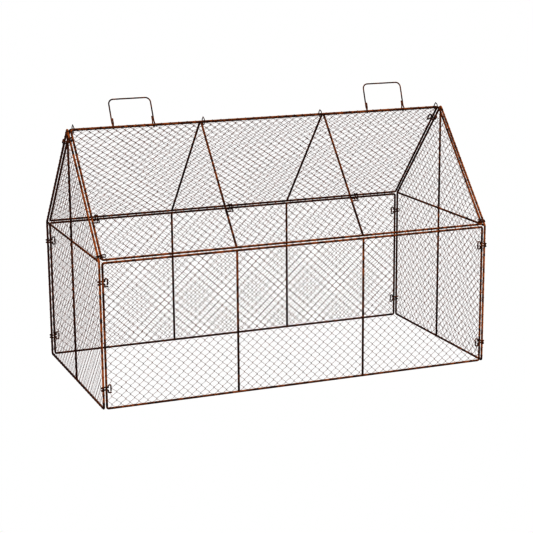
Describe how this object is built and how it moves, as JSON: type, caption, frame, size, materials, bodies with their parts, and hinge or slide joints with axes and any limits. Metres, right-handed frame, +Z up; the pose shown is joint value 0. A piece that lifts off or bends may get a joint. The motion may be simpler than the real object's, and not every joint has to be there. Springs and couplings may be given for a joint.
{
  "type": "wire cloche",
  "caption": "House-shaped wire cloche: rod-framed diamond net panels clipped together over an open bottom, with a front roof lid on ridge rings and two wire handles.",
  "frame": {"origin": "on the ground under the middle of the cloche", "axes": "+X along the ridge to the right seen from the front, +Y towards the back roof and the handles, +Z up; the lid is on the -Y side"},
  "size_m": [1.2274, 0.6086, 0.8393],
  "materials": {
    "rod": "brown rust over steel rod, matt",
    "net": "dull wire with rust, matt",
    "clip_wire": "dark rusted wire, matt",
    "handle_wire": "dark rusted wire, satin"
  },
  "bodies": {
    "cloche": {"left_end_frame": "rod", "left_end_crossbar": "rod", "left_end_lower_bar": "rod", "left_end_upper_bar": "rod", "left_end_net": "net", "right_end_frame": "rod", "right_end_crossbar": "rod", "right_end_lower_bar": "rod", "right_end_upper_bar": "rod", "right_end_net": "net", "front_wall_frame": "rod", "front_wall_bar_1": "rod", "front_wall_bar_2": "rod", "front_wall_net": "net", "back_wall_frame": "rod", "back_wall_bar_1": "rod", "back_wall_bar_2": "rod", "back_wall_net": "net", "back_roof_frame": "rod", "back_roof_bar_1": "rod", "back_roof_bar_2": "rod", "back_roof_net": "net", "ridge_ring_1": "clip_wire", "ridge_ring_2": "clip_wire", "ridge_ring_3": "clip_wire", "ridge_ring_4": "clip_wire"},
    "lid": {"lid_frame": "rod", "lid_bar_1": "rod", "lid_bar_2": "rod", "lid_net": "net"},
    "handle_left": {"handle_left": "handle_wire"},
    "handle_right": {"handle_right": "handle_wire"},
    "clip_front_left_low": {"clip_front_left_low": "clip_wire"},
    "clip_front_left_high": {"clip_front_left_high": "clip_wire"},
    "clip_back_left_low": {"clip_back_left_low": "clip_wire"},
    "clip_back_left_high": {"clip_back_left_high": "clip_wire"},
    "clip_front_right_low": {"clip_front_right_low": "clip_wire"},
    "clip_front_right_high": {"clip_front_right_high": "clip_wire"},
    "clip_back_right_low": {"clip_back_right_low": "clip_wire"},
    "clip_back_right_high": {"clip_back_right_high": "clip_wire"},
    "clip_eave_left": {"clip_eave_left": "clip_wire"},
    "clip_eave_middle": {"clip_eave_middle": "clip_wire"},
    "clip_eave_right": {"clip_eave_right": "clip_wire"},
    "clip_apex_left": {"clip_apex_left": "clip_wire"},
    "clip_apex_right": {"clip_apex_right": "clip_wire"},
    "lid_catch_left": {"lid_catch_left": "clip_wire"},
    "lid_catch_right": {"lid_catch_right": "clip_wire"}
  },
  "joints": [
    {"name": "lid_hinge", "type": "hinge", "parent": "cloche", "child": "lid", "pos_m": [0, -0.0055, 0.75677], "axis": [-1, 0, 0], "range_deg": [0, 150]},
    {"name": "handle_left_swing", "type": "hinge", "parent": "cloche", "child": "handle_left", "pos_m": [-0.4055, 0.0055, 0.75677], "axis": [-1, 0, 0], "range_deg": [-80, 74]},
    {"name": "handle_right_swing", "type": "hinge", "parent": "cloche", "child": "handle_right", "pos_m": [0.4145, 0.0055, 0.75677], "axis": [-1, 0, 0], "range_deg": [-72, 82]},
    {"name": "clip_front_left_low_release", "type": "hinge", "parent": "cloche", "child": "clip_front_left_low", "pos_m": [-0.607, -0.2975, 0.06077], "axis": [0, 0, 1], "range_deg": [0, 65]},
    {"name": "clip_front_left_high_release", "type": "hinge", "parent": "cloche", "child": "clip_front_left_high", "pos_m": [-0.607, -0.2975, 0.36877], "axis": [0, 0, 1], "range_deg": [0, 65]},
    {"name": "clip_back_left_low_release", "type": "hinge", "parent": "cloche", "child": "clip_back_left_low", "pos_m": [-0.607, 0.2975, 0.06077], "axis": [0, 0, -1], "range_deg": [0, 65]},
    {"name": "clip_back_left_high_release", "type": "hinge", "parent": "cloche", "child": "clip_back_left_high", "pos_m": [-0.607, 0.2975, 0.36877], "axis": [0, 0, -1], "range_deg": [0, 65]},
    {"name": "clip_front_right_low_release", "type": "hinge", "parent": "cloche", "child": "clip_front_right_low", "pos_m": [0.607, -0.2975, 0.06077], "axis": [0, 0, -1], "range_deg": [0, 65]},
    {"name": "clip_front_right_high_release", "type": "hinge", "parent": "cloche", "child": "clip_front_right_high", "pos_m": [0.607, -0.2975, 0.36877], "axis": [0, 0, -1], "range_deg": [0, 65]},
    {"name": "clip_back_right_low_release", "type": "hinge", "parent": "cloche", "child": "clip_back_right_low", "pos_m": [0.607, 0.2975, 0.06077], "axis": [0, 0, 1], "range_deg": [0, 65]},
    {"name": "clip_back_right_high_release", "type": "hinge", "parent": "cloche", "child": "clip_back_right_high", "pos_m": [0.607, 0.2975, 0.36877], "axis": [0, 0, 1], "range_deg": [0, 65]},
    {"name": "clip_eave_left_release", "type": "hinge", "parent": "cloche", "child": "clip_eave_left", "pos_m": [-0.45, 0.29408, 0.4336], "axis": [-1, 0, 0], "range_deg": [0, 65]},
    {"name": "clip_eave_middle_release", "type": "hinge", "parent": "cloche", "child": "clip_eave_middle", "pos_m": [0, 0.29408, 0.4336], "axis": [-1, 0, 0], "range_deg": [0, 65]},
    {"name": "clip_eave_right_release", "type": "hinge", "parent": "cloche", "child": "clip_eave_right", "pos_m": [0.45, 0.29408, 0.4336], "axis": [-1, 0, 0], "range_deg": [0, 65]},
    {"name": "clip_apex_left_release", "type": "hinge", "parent": "cloche", "child": "clip_apex_left", "pos_m": [-0.607, 0.03747, 0.71865], "axis": [0, 0.669, -0.7432], "range_deg": [0, 55]},
    {"name": "clip_apex_right_release", "type": "hinge", "parent": "cloche", "child": "clip_apex_right", "pos_m": [0.607, 0.03747, 0.71865], "axis": [0, -0.669, 0.7432], "range_deg": [0, 55]},
    {"name": "lid_catch_left_press", "type": "hinge", "parent": "lid", "child": "lid_catch_left", "pos_m": [-0.598, -0.28784, 0.44059], "axis": [0, 0.6661, 0.7459], "range_deg": [0, 6]},
    {"name": "lid_catch_right_press", "type": "hinge", "parent": "lid", "child": "lid_catch_right", "pos_m": [0.598, -0.28784, 0.44059], "axis": [0, -0.6661, -0.7459], "range_deg": [0, 6]}
  ]
}
